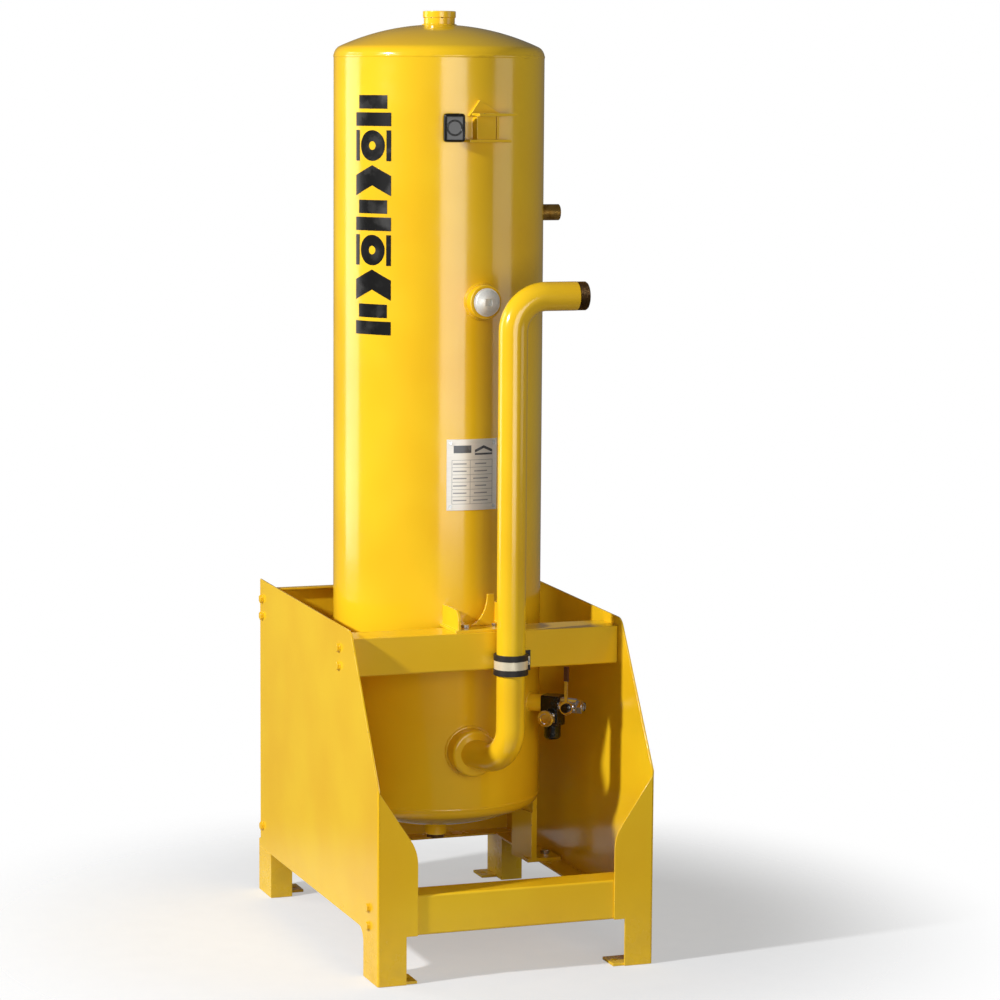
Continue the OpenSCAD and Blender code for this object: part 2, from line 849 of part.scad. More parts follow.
module at_drain(z) {
    on_tank(drain_angle, drain_z) translate([0, 0, z]) children();
}

// Local frame on the valve's stem: Z runs out along the stem, Y up, X out of the shell
module at_stem() {
    at_drain(ball_z) rotate([0, -90, 0]) children();
}

module port_socket() {
    color("goldenrod") shell_socket(drain_angle, drain_z, 38, nipple_d + 2 * run_gap, socket_l);
}

module port_nipple() {
    color("gray") at_drain(tank_r + 4) tube(nipple_d / 2, 7.5, socket_l - 4 + nipple_in);
}

module drain_block() {
    w = block_w / 2;
    color("#181818") at_drain(block_z) difference() {
        linear_extrude(block_w)
            polygon(rounded([[-w, -w - block_drop, 4], [w, -w - block_drop, 4], [w, w, 4],
                [-w, w, 4]], 4));
        translate([0, 0, -1]) cylinder(d = nipple_d + 2 * run_gap, h = nipple_in + 1 + slip_gap);
        cylinder(d = valve_bore, h = block_w + 1);
        translate([0, -block_drop, w]) rotate([0, -90, 0]) cylinder(d = thread_d, h = block_w);
        translate([0, 0, w]) rotate([90, 0, 0]) cylinder(d = thread_d, h = block_w + block_drop);
    }
}

// Round gripped plug in the side of the block that faces the front
module block_plug() {
    flats = 32;
    hex_h = 8;
    cap_d = 36;
    cap_h = 13;
    color("silver") at_drain(block_z + block_w / 2) translate([0, -block_drop, 0])
        rotate([0, -90, 0]) {
        translate([0, 0, block_w / 2 - 8]) cylinder(d = thread_d - 2 * run_gap, h = 8);
        translate([0, 0, block_w / 2]) hexagon(flats, hex_h);
        translate([0, 0, block_w / 2 + hex_h]) cylinder(d = cap_d, h = cap_h);
    }
}

module dirt_bowl() {
    bowl_d = 36;
    color("#101010") at_drain(block_z + block_w / 2) rotate([90, 0, 0]) difference() {
        translate([0, 0, block_drop]) union() {
            translate([0, 0, block_w / 2 - 8]) cylinder(d = thread_d - 2 * run_gap, h = 9);
            translate([0, 0, block_w / 2]) rotate_extrude() polygon(rounded([[0, 0, 0],
                [bowl_d / 2, 0, 0], [bowl_d / 2, bowl_l, 8], [0, bowl_l, 0]]));
        }
        translate([0, 0, block_drop + block_w / 2 - 9]) cylinder(d = thread_d - 6, h = 9 + bowl_l - 4);
    }
}

seat_out = ball_d / 2 + 0.5;
chamber_r = ball_d / 2 + slip_gap;
cap_l = valve_l / 2 - seat_out;

// Body of the ball valve, open through its bore, with its stem boss to one side
module valve_body() {
    color("silver") {
        difference() {
            union() {
                at_drain(valve_z) cylinder(r = valve_r, h = valve_l - cap_l);
                at_drain(valve_z) hexagon(32, 9);
                at_stem() cylinder(d = 20, h = stem_seat);
            }
            at_drain(valve_z - 1) cylinder(d = valve_bore, h = valve_l);
            at_drain(ball_z - seat_out) cylinder(r = chamber_r, h = valve_l);
            at_stem() cylinder(d = stem_d + 2 * run_gap, h = stem_seat + 1);
            at_stem() translate([0, 0, stem_seat - 6]) cylinder(d = 14 + 2 * run_gap, h = 7);
        }
    }
}

// Screwed end of the valve, which closes the ball in
module valve_end_cap() {
    outlet_d = valve_bore + 4;
    lip = 2;
    color("silver") at_drain(ball_z + seat_out) difference() {
        union() {
            hexagon(28, cap_l);
            translate([0, 0, cap_l]) cylinder(d = 25, h = lip);
        }
        translate([0, 0, -1]) cylinder(d = valve_bore, h = cap_l);
        translate([0, 0, 4]) cylinder(d = outlet_d, h = cap_l + lip);
    }
}

// Two rings that the ball turns against
module valve_seats() {
    color("white") at_drain(ball_z) for (end = [0, 1]) mirror([0, 0, end]) difference() {
        translate([0, 0, seat_out - seat_t - 1])
            tube(chamber_r - run_gap, valve_bore / 2, seat_t + 1);
        sphere(d = ball_d + 2 * run_gap);
    }
}

slot_w = 4;
slot_depth = 3;

// Ball, closed at rest: its bore lies across the valve, along the lever
module valve_ball() {
    color("silver") at_stem() difference() {
        rotate([90, 0, 0]) sphere(d = ball_d);
        rotate([90, 0, 0]) cylinder(d = valve_bore - 1, h = 2 * ball_d, center = true);
        translate([-ball_d, -slot_w / 2 - run_gap, ball_d / 2 - slot_depth])
            cube([2 * ball_d, slot_w + 2 * run_gap, slot_depth + 1]);
    }
}

lever_x = stem_seat + 6;
lever_t = 3;
lever_w = 8;
hub_r = 15;

// Stem, with a tongue in the ball's slot
module valve_stem() {
    top = lever_x + lever_t + 5;
    color("silver") at_stem() {
        translate([-stem_d / 2 + 0.5, -slot_w / 2, ball_d / 2 - slot_depth + slip_gap])
            cube([stem_d - 1, slot_w, slot_depth + 1.5]);
        translate([0, 0, ball_d / 2 + 0.6]) cylinder(d = stem_d, h = top - ball_d / 2 - 0.6);
    }
}

module packing_nut() {
    color("silver") at_stem() difference() {
        union() {
            translate([0, 0, stem_seat]) hexagon(17, 4);
            translate([0, 0, stem_seat - 5]) cylinder(d = 14, h = 5);
        }
        translate([0, 0, stem_seat - 6]) cylinder(d = stem_d + 2 * run_gap, h = 12);
    }
}

// Flat lever that points up when the valve is closed
module valve_lever() {
    r = lever_w / 2;
    color("silver") at_stem() translate([0, 0, lever_x]) difference() {
        union() {
            cylinder(r = hub_r, h = lever_t);
            translate([-r, 0, 0]) cube([lever_w, lever_l - r, lever_t]);
            translate([0, lever_l - r, 0]) cylinder(r = r, h = lever_t);
        }
        translate([0, 0, -1]) cylinder(d = stem_d, h = lever_t + 2);
    }
}

grip_l = 30;
grip_t = 1.5;

module lever_grip() {
    gap = weld_gap;
    w = lever_w + 2 * gap;
    t = lever_t + 2 * gap;
    color("saddlebrown") at_stem() translate([0, lever_l + gap - grip_l, lever_x - gap])
        difference() {
            translate([-w / 2 - grip_t, 0, -grip_t])
                cube([w + 2 * grip_t, grip_l + grip_t, t + 2 * grip_t]);
            translate([-w / 2, -1, 0]) cube([w, grip_l + 1, t]);
        }
}

// Round cap nut on the stem's end
module lever_cap() {
    cap_h = 8;
    color("#141414") at_stem() translate([0, 0, lever_x + lever_t]) difference() {
        rotate_extrude() polygon(rounded([[0, 0, 0], [10, 0, 0], [10, cap_h, 3], [0, cap_h, 0]]));
        translate([0, 0, -1]) cylinder(d = stem_d, h = 6 + slip_gap);
    }
}

shell_front();
shell_right();
shell_back();
shell_left();
top_head();
bottom_head();
top_socket();
side_socket();
gauge_socket();
gauge_cap();
inspection_socket();
inspection_plug();
inspection_seal();
hanging_bracket();
data_plate();
plate_studs();
marking();
inlet_boss();
pipe_stub();
lower_elbow();
pipe_riser();
upper_elbow();
pipe_run_out();
pipe_end_nipple();
clamp_rubber();
clamp_band();
clamp_bolt();
top_rail();
bottom_rail();
left_side_panel();
right_side_panel();
rear_panel();
left_rear_leg();
right_rear_leg();
floor_plates();
left_tank_leg();
right_tank_leg();
tank_leg_bolts();
tank_stay();
stay_gusset();
stay_bolts();
left_frame_bolts();
right_frame_bolts();
drain_socket();
drain_plug();
port_socket();
port_nipple();
drain_block();
block_plug();
dirt_bowl();
valve_body();
valve_end_cap();
valve_seats();
valve_ball();
valve_stem();
packing_nut();
valve_lever();
lever_grip();
lever_cap();
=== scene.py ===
"""Looks for an upright air receiver tank that stands in a folded sheet-steel frame.

Metres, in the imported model's frame: X across the frame, -Y its open front, Z up.
"""

import json
import math

import bpy
from mathutils import Matrix, Vector


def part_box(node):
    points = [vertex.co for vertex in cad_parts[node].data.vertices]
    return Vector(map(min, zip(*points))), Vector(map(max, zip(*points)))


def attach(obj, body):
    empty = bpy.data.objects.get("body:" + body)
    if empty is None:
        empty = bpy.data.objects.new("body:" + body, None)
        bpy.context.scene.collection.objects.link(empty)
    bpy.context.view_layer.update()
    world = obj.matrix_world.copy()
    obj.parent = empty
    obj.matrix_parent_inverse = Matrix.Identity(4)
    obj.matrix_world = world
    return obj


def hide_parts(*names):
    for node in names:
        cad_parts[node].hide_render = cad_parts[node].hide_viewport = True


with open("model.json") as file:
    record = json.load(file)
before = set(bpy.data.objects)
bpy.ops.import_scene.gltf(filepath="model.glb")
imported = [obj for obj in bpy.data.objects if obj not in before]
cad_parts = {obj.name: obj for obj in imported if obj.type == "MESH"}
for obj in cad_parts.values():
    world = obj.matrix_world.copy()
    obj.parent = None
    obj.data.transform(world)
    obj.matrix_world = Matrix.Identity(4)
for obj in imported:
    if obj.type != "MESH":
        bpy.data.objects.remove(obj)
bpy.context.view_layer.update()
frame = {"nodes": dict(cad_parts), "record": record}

MM = 0.001
ROOT = "receiver"
BODY_OF = {node: body for body, nodes in frame["record"]["behaviour"]["bodies"].items()
           for node in nodes}
SLOT_OF = {part["node"]: part["material_slot"] for part in frame["record"]["subparts"]}

# Places read from the model
SHELL = ("shell_front", "shell_right", "shell_back", "shell_left")
shell_low = [min(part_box(node)[0][axis] for node in SHELL) for axis in range(3)]
shell_high = [max(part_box(node)[1][axis] for node in SHELL) for axis in range(3)]
TANK_R = (shell_high[0] - shell_low[0]) / 2
TANK_Y = (shell_high[1] + shell_low[1]) / 2
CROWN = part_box("top_head")[1][2]


# ---- Modelling helpers ----

def deselect():
    bpy.ops.object.select_all(action="DESELECT")


def pick(obj):
    """Makes obj the only selected and active object."""
    deselect()
    obj.select_set(True)
    bpy.context.view_layer.objects.active = obj


def named(name):
    """Names the primitive that was just added."""
    obj = bpy.context.object
    obj.name = obj.data.name = name
    return obj


def place(obj, matrix=None):
    """Puts the object's own place, and then the matrix, into its mesh."""
    obj.data.transform((matrix or Matrix()) @ obj.matrix_basis)
    obj.matrix_basis = Matrix()
    return obj


def smooth(obj, degrees=35):
    pick(obj)
    bpy.ops.object.shade_smooth_by_angle(angle=math.radians(degrees))
    return obj


def join(name, objs):
    pick(objs[0])
    for obj in objs:
        obj.select_set(True)
    bpy.ops.object.join()
    return named(name)


def copied(obj, matrix):
    """Copy with a mesh of its own, moved by the matrix."""
    twin = bpy.data.objects.new(obj.name, obj.data.copy())
    bpy.context.collection.objects.link(twin)
    twin.data.transform(matrix)
    return twin


def outwards(obj):
    """Merges doubled points and turns every face outwards."""
    pick(obj)
    bpy.ops.object.mode_set(mode="EDIT")
    bpy.ops.mesh.select_all(action="SELECT")
    bpy.ops.mesh.remove_doubles(threshold=1e-6)
    bpy.ops.mesh.normals_make_consistent(inside=False)
    bpy.ops.object.mode_set(mode="OBJECT")
    return obj


def modified(obj, kind, **settings):
    """Adds a modifier with the settings and applies it."""
    pick(obj)
    mod = obj.modifiers.new(kind.lower(), kind)
    for key, value in settings.items():
        setattr(mod, key, value)
    bpy.ops.object.modifier_apply(modifier=mod.name)
    return obj


def turned(name, profile, steps=96):
    """Turned solid about Z: a circle extruded and scaled along the (radius, height) profile."""
    deselect()
    (r, z), rest = profile[0], profile[1:]
    bpy.ops.mesh.primitive_circle_add(vertices=steps, radius=r, location=(0, 0, z),
                                      fill_type="NOTHING")
    obj = place(named(name))
    pick(obj)
    bpy.ops.object.mode_set(mode="EDIT")
    bpy.ops.mesh.select_all(action="SELECT")
    for r_next, z_next in rest:
        bpy.ops.mesh.extrude_edges_indiv()
        bpy.ops.transform.resize(value=(r_next / r, r_next / r, 1), center_override=(0, 0, z))
        bpy.ops.transform.translate(value=(0, 0, z_next - z))
        r, z = r_next, z_next
    bpy.ops.object.mode_set(mode="OBJECT")
    return obj


def capped(obj):
    """Closes the open ends of a turned solid."""
    pick(obj)
    bpy.ops.object.mode_set(mode="EDIT")
    bpy.ops.mesh.select_all(action="DESELECT")
    bpy.ops.mesh.select_mode(type="EDGE")
    bpy.ops.mesh.select_non_manifold()
    bpy.ops.mesh.edge_face_add()
    bpy.ops.mesh.select_mode(type="VERT")
    bpy.ops.object.mode_set(mode="OBJECT")
    return outwards(obj)


def on_tank(angle, z, out=0.0):
    """Local frame on the shell: X round towards +X, Y up, Z out; angle from the front."""
    a = math.radians(angle)
    round_, out_dir = Vector((math.cos(a), math.sin(a), 0)), Vector((math.sin(a), -math.cos(a), 0))
    at = Vector((0, TANK_Y, z)) + out_dir * (TANK_R + out)
    m = Matrix((round_, Vector((0, 0, 1)), out_dir)).transposed().to_4x4()
    m.translation = at
    return m


def bearing(node):
    """Angle round the tank and height of a node's middle."""
    low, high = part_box(node)
    mid = (Vector(low) + Vector(high)) / 2
    return math.degrees(math.atan2(mid.x, TANK_Y - mid.y)), mid.z


def wrapped(obj, angle, z, lift):
    """Bends a flat piece, modelled in XY with its thickness along Z, round the shell."""
    for v in obj.data.vertices:
        turn = math.radians(angle) + v.co.x / TANK_R
        r = TANK_R + lift + v.co.z
        v.co = (r * math.sin(turn), TANK_Y - r * math.cos(turn), z + v.co.y)
    return obj


# ---- Materials ----

def srgb(hex_colour):
    """Linear RGBA of an sRGB hex colour."""
    def channel(i):
        c = int(hex_colour[i:i + 2], 16) / 255
        return c / 12.92 if c <= 0.04045 else ((c + 0.055) / 1.055) ** 2.4
    return (channel(1), channel(3), channel(5), 1.0)


def add(mat, kind, inputs=None, **settings):
    """Adds a node with its settings; an input is linked from a socket or set to a value."""
    node = mat.node_tree.nodes.new("ShaderNode" + kind)
    for key, value in settings.items():
        setattr(node, key, value)
    for key, value in (inputs or {}).items():
        if isinstance(value, bpy.types.NodeSocket):
            mat.node_tree.links.new(value, node.inputs[key])
        else:
            node.inputs[key].default_value = value
    return node


def new_material(name, **constants):
    """Material with a Principled shader, its constants, and the object's own coordinates."""
    mat = bpy.data.materials.new(name)
    mat.use_nodes = True
    shader = mat.node_tree.nodes["Principled BSDF"]
    for key, value in constants.items():
        shader.inputs[key.replace("_", " ").title().replace("Ior", "IOR")].default_value = value
    coords = add(mat, "TexCoord").outputs["Object"]
    return mat, shader, coords


def link(mat, socket, shader, name):
    mat.node_tree.links.new(socket, shader.inputs[name])


def per_metre(size_mm):
    """Texture scale that gives features of the size in millimetres."""
    return 1000.0 / size_mm


def spots(mat, coords, size_mm, low, high, detail=3.0):
    """0 to 1 mask of noise patches of the size, from low to high on the noise."""
    noise = add(mat, "TexNoise", {"Vector": coords, "Scale": per_metre(size_mm), "Detail": detail})
    return add(mat, "MapRange", {"Value": noise.outputs["Fac"], "From Min": low,
                                 "From Max": high}).outputs["Result"]


def mixed(mat, factor, a, b):
    """Colour a, turning to b where the factor is 1."""
    mix = add(mat, "Mix", {0: factor}, data_type="RGBA")
    for socket, value in ((mix.inputs[6], a), (mix.inputs[7], b)):
        if isinstance(value, bpy.types.NodeSocket):
            mat.node_tree.links.new(value, socket)
        else:
            socket.default_value = value
    return mix.outputs[2]


def times(mat, a, b):
    return add(mat, "Math", {0: a, 1: b}, operation="MULTIPLY").outputs[0]


def bumped(mat, shader, height, depth_mm, strength=1.0):
    bump = add(mat, "Bump", {"Height": height, "Distance": depth_mm * MM, "Strength": strength})
    link(mat, bump.outputs["Normal"], shader, "Normal")


def spread(mat, value, low, high):
    return add(mat, "MapRange", {"Value": value, "To Min": low, "To Max": high}).outputs["Result"]


PAINT = "#EEC220"
PAINT_DEEP = "#E8B61A"


def powder_coat():
    """Polyester powder coat baked on steel: a thick gloss skin with orange peel, thin on edges."""
    mat, shader, coords = new_material("powder_coated_steel", ior=1.5, coat_weight=0.25,
                                       coat_roughness=0.1)
    clouds = spots(mat, coords, 260, 0.35, 0.65, 2.0)
    base = mixed(mat, clouds, srgb(PAINT), srgb(PAINT_DEEP))
    # Thin film on bent and cut edges, where the coat pulls back and wears pale
    edge = add(mat, "Attribute", attribute_name="worn_edge").outputs["Fac"]
    rub = spots(mat, coords, 18, 0.45, 0.62)
    base = mixed(mat, times(mat, edge, spread(mat, rub, 0.1, 0.75)), base, srgb("#FFD75A"))
    chip = times(mat, edge, spots(mat, coords, 9, 0.66, 0.70))
    base = mixed(mat, chip, base, srgb("#6E5A3C"))
    # Warehouse dust and scuffs near the floor
    height = add(mat, "SeparateXYZ", {0: coords}).outputs["Z"]
    low_down = add(mat, "MapRange", {"Value": height, "From Min": 0.0, "From Max": 0.16,
                                     "To Min": 1.0, "To Max": 0.0}).outputs["Result"]
    dust = times(mat, low_down, spots(mat, coords, 30, 0.35, 0.75, 6.0))
    base = mixed(mat, times(mat, dust, 0.2), base, srgb("#8A6A2A"))
    link(mat, base, shader, "Base Color")
    grime = spots(mat, coords, 70, 0.4, 0.7, 5.0)
    rough = spread(mat, grime, 0.15, 0.22)
    rough = add(mat, "Math", {0: rough, 1: times(mat, dust, 0.35)}, operation="ADD").outputs[0]
    link(mat, rough, shader, "Roughness")
    # Real peel is 3 to 5 mm across; drawn at 9 mm so that it shows
    peel = add(mat, "TexNoise", {"Vector": coords, "Scale": per_metre(9), "Detail": 1.0})
    bumped(mat, shader, peel.outputs["Fac"], 0.05)
    return mat


def zinc_plate(name, colour, rough_low, rough_high, grain_mm=2.5, metallic=1.0, mottle=0.4):
    """Zinc plate or satin stainless steel: fine cells of slightly different tone and gloss."""
    mat, shader, coords = new_material(name, metallic=metallic)
    cells = add(mat, "TexVoronoi", {"Vector": coords, "Scale": per_metre(grain_mm)})
    tone = add(mat, "SeparateColor", {0: cells.outputs["Color"]}).outputs[0]
    link(mat, mixed(mat, times(mat, tone, mottle), srgb(colour), srgb("#8E8F8C")), shader, "Base Color")
    link(mat, spread(mat, tone, rough_low, rough_high), shader, "Roughness")
    grain = add(mat, "TexNoise", {"Vector": coords, "Scale": per_metre(1.2), "Detail": 4.0})
    bumped(mat, shader, grain.outputs["Fac"], 0.02)
    return mat


def chrome_plate():
    """Nickel and chrome on brass: mirror bright, with handling smears and fine scratches."""
    mat, shader, coords = new_material("chrome_plated_brass", metallic=1.0)
    smear = spots(mat, coords, 14, 0.4, 0.7, 4.0)
    link(mat, mixed(mat, smear, srgb("#EFEFF0"), srgb("#D6D6D6")), shader, "Base Color")
    link(mat, spread(mat, smear, 0.08, 0.2), shader, "Roughness")
    fine = add(mat, "Mapping", {"Vector": coords, "Scale": (1.0, 1.0, 9.0)}).outputs["Vector"]
    lines = add(mat, "TexNoise", {"Vector": fine, "Scale": per_metre(3), "Detail": 5.0})
    bumped(mat, shader, lines.outputs["Fac"], 0.01)
    return mat


def oiled_steel():
    """Bare carbon steel, threaded and oiled: dark brown film with rust freckles."""
    mat, shader, coords = new_material("oiled_bare_steel", metallic=0.85)
    rust = spots(mat, coords, 7, 0.45, 0.65, 6.0)
    base = mixed(mat, rust, srgb("#6A5234"), srgb("#4A3016"))
    link(mat, base, shader, "Base Color")
    link(mat, spread(mat, rust, 0.28, 0.62), shader, "Roughness")
    bumped(mat, shader, rust, 0.04)
    return mat


def brass():
    """Turned brass left bare: warm metal dulled by a thin tarnish."""
    mat, shader, coords = new_material("bare_turned_brass", metallic=1.0)
    tarnish = spots(mat, coords, 12, 0.38, 0.68, 5.0)
    link(mat, mixed(mat, tarnish, srgb("#C79A4E"), srgb("#8C6428")), shader, "Base Color")
    link(mat, spread(mat, tarnish, 0.25, 0.5), shader, "Roughness")
    lines = add(mat, "TexWave", {"Vector": coords, "Scale": per_metre(6.0), "Distortion": 0.4},
                bands_direction="X")
    bumped(mat, shader, lines.outputs["Fac"], 0.015)
    return mat


def moulded(name, colour, worn, rough_low, rough_high, grain_mm, depth_mm, ior=1.5):
    """Moulded plastic or rubber: even colour, spark-eroded grain, scuffed lighter in places."""
    mat, shader, coords = new_material(name, ior=ior)
    scuff = spots(mat, coords, 16, 0.55, 0.75, 5.0)
    edge = add(mat, "Attribute", attribute_name="worn_edge").outputs["Fac"]
    wear = add(mat, "Math", {0: times(mat, scuff, 0.5), 1: times(mat, edge, 0.6)},
               operation="MAXIMUM").outputs[0]
    link(mat, mixed(mat, wear, srgb(colour), srgb(worn)), shader, "Base Color")
    link(mat, spread(mat, scuff, rough_low, rough_high), shader, "Roughness")
    grain = add(mat, "TexNoise", {"Vector": coords, "Scale": per_metre(grain_mm), "Detail": 3.0})
    bumped(mat, shader, grain.outputs["Fac"], depth_mm)
    return mat


def printed_plate():
    """Anodised aluminium plate: satin silver with a fine rolled grain along its width."""
    mat, shader, coords = new_material("anodised_aluminium_plate", metallic=0.35, ior=1.5)
    rolled = add(mat, "Mapping", {"Vector": coords, "Scale": (0.08, 0.08, 1.0)}).outputs["Vector"]
    grain = add(mat, "TexNoise", {"Vector": rolled, "Scale": per_metre(2), "Detail": 4.0})
    link(mat, mixed(mat, grain.outputs["Fac"], srgb("#E2E0DA"), srgb("#CFCCC4")), shader, "Base Color")
    link(mat, spread(mat, grain.outputs["Fac"], 0.3, 0.42), shader, "Roughness")
    bumped(mat, shader, grain.outputs["Fac"], 0.01)
    return mat


def film(name, colour, dusty):
    """Cut self-adhesive vinyl film: dense and glossy with a little dust on it."""
    mat, shader, coords = new_material(name, ior=1.5)
    dust = spots(mat, coords, 45, 0.5, 0.8, 6.0)
    link(mat, mixed(mat, times(mat, dust, 0.2), srgb(colour), srgb(dusty)), shader, "Base Color")
    link(mat, spread(mat, dust, 0.22, 0.45), shader, "Roughness")
    ripple = add(mat, "TexNoise", {"Vector": coords, "Scale": per_metre(10), "Detail": 1.0})
    bumped(mat, shader, ripple.outputs["Fac"], 0.04)
    return mat


def floor_paper():
    """Pale studio floor that fades out into the light around it, and glows a little when seen."""
    mat, shader, coords = new_material("pale_floor", roughness=0.7, specular_ior_level=0.0,
                                       emission_color=srgb("#FFFFFF"))
    seen = add(mat, "LightPath").outputs["Is Camera Ray"]
    link(mat, times(mat, seen, 0.4), shader, "Emission Strength")
    tooth = add(mat, "TexNoise", {"Vector": coords, "Scale": per_metre(60), "Detail": 4.0})
    link(mat, mixed(mat, tooth.outputs["Fac"], srgb("#B9BABC"), srgb("#B3B4B6")), shader, "Base Color")
    reach = add(mat, "VectorMath", {0: coords}, operation="LENGTH").outputs["Value"]
    fade = add(mat, "MapRange", {"Value": reach, "From Min": 0.6, "From Max": 1.3},
               interpolation_type="SMOOTHSTEP").outputs["Result"]
    clear = add(mat, "BsdfTransparent").outputs[0]
    mix = add(mat, "MixShader", {0: fade, 1: shader.outputs[0], 2: clear})
    mat.node_tree.links.new(mix.outputs[0], mat.node_tree.nodes["Material Output"].inputs["Surface"])
    return mat


PAINTED = powder_coat()
ZINC = zinc_plate("bright_zinc_plate", "#C9CAC8", 0.22, 0.4)
DARK_STEEL = oiled_steel()
CHROME = chrome_plate()
BRASS = brass()
BLACK_PLASTIC = moulded("black_polyamide", "#0C0C0B", "#33332E", 0.2, 0.36, 1.5, 0.02)
RUBBER = moulded("black_rubber", "#1A1614", "#3A3430", 0.55, 0.75, 2.0, 0.05)
SEAT_PLASTIC = moulded("white_ptfe", "#ECEAE4", "#D8D4CA", 0.3, 0.45, 1.5, 0.02, ior=1.38)
GRIP_VINYL = moulded("dipped_vinyl", "#4A2A18", "#6E4A34", 0.35, 0.5, 2.2, 0.08)
PLATE = printed_plate()
BLACK_FILM = film("black_cut_vinyl", "#0A0908", "#3A362C")
GREY_INK = film("grey_print", "#8B8D90", "#A5A6A6")
DARK_INK = film("dark_print", "#4A4E55", "#77797C")
BAND_STEEL = zinc_plate("stainless_band", "#E9DDC0", 0.3, 0.42, metallic=0.3, mottle=0.1)
SATIN_ZINC = zinc_plate("satin_zinc_plug", "#EDEEEA", 0.4, 0.5, metallic=0.4, mottle=0.15)
MATERIAL_OF_NODE = {"clamp_band": BAND_STEEL, "inspection_plug": SATIN_ZINC}

MATERIAL_OF_SLOT = {
    "painted_steel": PAINTED, "painted_bolts": PAINTED, "bare_brass": BRASS,
    "black_plastic": BLACK_PLASTIC, "zinc_steel": ZINC, "dark_steel": DARK_STEEL,
    "chrome_plate": CHROME, "rubber": RUBBER, "plate_aluminium": PLATE,
    "black_vinyl": BLACK_FILM, "ptfe": SEAT_PLASTIC, "grip_vinyl": GRIP_VINYL,
}


# ---- Pieces ----

def coated(obj, material, body=ROOT, slot_name="painted_steel"):
    """Gives a finished piece its material and body."""
    obj.data.materials.clear()
    obj.data.materials.append(material)
    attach(obj, body)
    return obj


def softened(obj, width, segments=2, angle=35):
    """Rounds every sharp edge and marks the new faces as worn edges."""
    obj.data.materials.clear()
    for _ in range(2):
        obj.data.materials.append(PAINTED)
    modified(obj, "BEVEL", width=width, segments=segments, limit_method="ANGLE",
             angle_limit=math.radians(angle), use_clamp_overlap=False, material=1)
    mask = obj.data.attributes.new("worn_edge", "FLOAT", "FACE")
    for face in obj.data.polygons:
        mask.data[face.index].value = float(face.material_index == 1)
        face.material_index = 0
    return obj


def merged_copy(node):
    """The node's solid as a clean mesh: doubled points merged and flat faces whole again."""
    obj = bpy.data.objects.new("finished_" + node, frame["nodes"][node].data.copy())
    bpy.context.collection.objects.link(obj)
    pick(obj)
    bpy.ops.object.mode_set(mode="EDIT")
    bpy.ops.mesh.select_all(action="SELECT")
    bpy.ops.mesh.customdata_custom_splitnormals_clear()
    bpy.ops.mesh.remove_doubles(threshold=2e-6)
    bpy.ops.mesh.dissolve_limited(angle_limit=math.radians(0.4))
    bpy.ops.object.mode_set(mode="OBJECT")
    return obj


def folded(obj, chosen, width, segments=4):
    """Rounds the bend lines of folded sheet: the edges that chosen(point, point) picks."""
    pick(obj)
    bpy.ops.object.mode_set(mode="EDIT")
    bpy.ops.mesh.select_all(action="DESELECT")
    bpy.ops.object.mode_set(mode="OBJECT")
    points = obj.data.vertices
    for edge in obj.data.edges:
        a, b = (points[i].co for i in edge.vertices)
        edge.select = chosen(a, b)
    bpy.ops.object.mode_set(mode="EDIT")
    bpy.ops.mesh.select_mode(type="EDGE")
    bpy.ops.mesh.bevel(offset=width, segments=segments, affect="EDGES", clamp_overlap=False)
    bpy.ops.mesh.select_mode(type="VERT")
    bpy.ops.object.mode_set(mode="OBJECT")
    return obj


def finished(node, edge_mm, fold=None, segments=2, material=None, smooth_degrees=35):
    """Stands for a node with a merged, soft-edged copy of its own solid."""
    obj = merged_copy(node)
    if fold:
        folded(obj, *fold)
    if edge_mm:
        softened(obj, edge_mm * MM, segments)
    smooth(obj, smooth_degrees)
    if edge_mm:
        modified(obj, "WEIGHTED_NORMAL", keep_sharp=True)
    slot_name = SLOT_OF[node]
    coated(obj, material or MATERIAL_OF_SLOT[slot_name], BODY_OF[node], slot_name)
    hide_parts(node)
    return obj


# Bends of the folded panels and rails: outside corner lines of the sheet
def panel_bend(side):
    low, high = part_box(side + "_side_panel")
    outer = low[0] if side == "left" else high[0]
    front = low[1]

    def chosen(a, b):
        return all(abs(p.x - outer) < 1e-4 and abs(p.y - front) < 1e-4 for p in (a, b))
    return chosen


def long_bend(node, axis, sides):
    """Picks the long outside edges that lie on the node's box along one axis."""
    low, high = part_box(node)

    def chosen(a, b):
        if abs(a[axis] - b[axis]) < 0.1:
            return False
        return all(any(abs(p[i] - (low, high)[end][i]) < 1e-4 for end in (0, 1)) for p in (a, b)
                   for i in sides)
    return chosen


EDGE_MM = {
    "top_head": 0, "bottom_head": 0, "top_socket": 1.5, "side_socket": 0.8,
    "gauge_socket": 1.0, "inspection_socket": 2.0, "inspection_plug": 0.8,
    "inspection_seal": 0, "hanging_bracket": 0.8, "data_plate": 0.3, "plate_studs": 0.3,
    "inlet_boss": 0, "pipe_stub": 0, "lower_elbow": 0, "pipe_riser": 0, "upper_elbow": 0,
    "pipe_run_out": 0, "clamp_rubber": 0.5, "clamp_band": 0.3, "clamp_bolt": 0.5,
    "left_rear_leg": 0.8, "right_rear_leg": 0.8, "floor_plates": 0.8, "left_tank_leg": 1.0,
    "right_tank_leg": 1.0, "tank_leg_bolts": 0.8, "tank_stay": 0.8, "stay_gusset": 0.8,
    "stay_bolts": 0.6, "left_frame_bolts": 0.6, "right_frame_bolts": 0.6, "drain_socket": 1.5,
    "drain_plug": 1.0, "port_socket": 1.0, "port_nipple": 0.3, "drain_block": 0.8,
    "dirt_bowl": 0.4, "valve_body": 0.4, "valve_end_cap": 0.5, "valve_seats": 0,
    "valve_ball": 0, "valve_stem": 0.3, "packing_nut": 0.5, "valve_lever": 0.4,
    "lever_grip": 1.2, "lever_cap": 0,
}
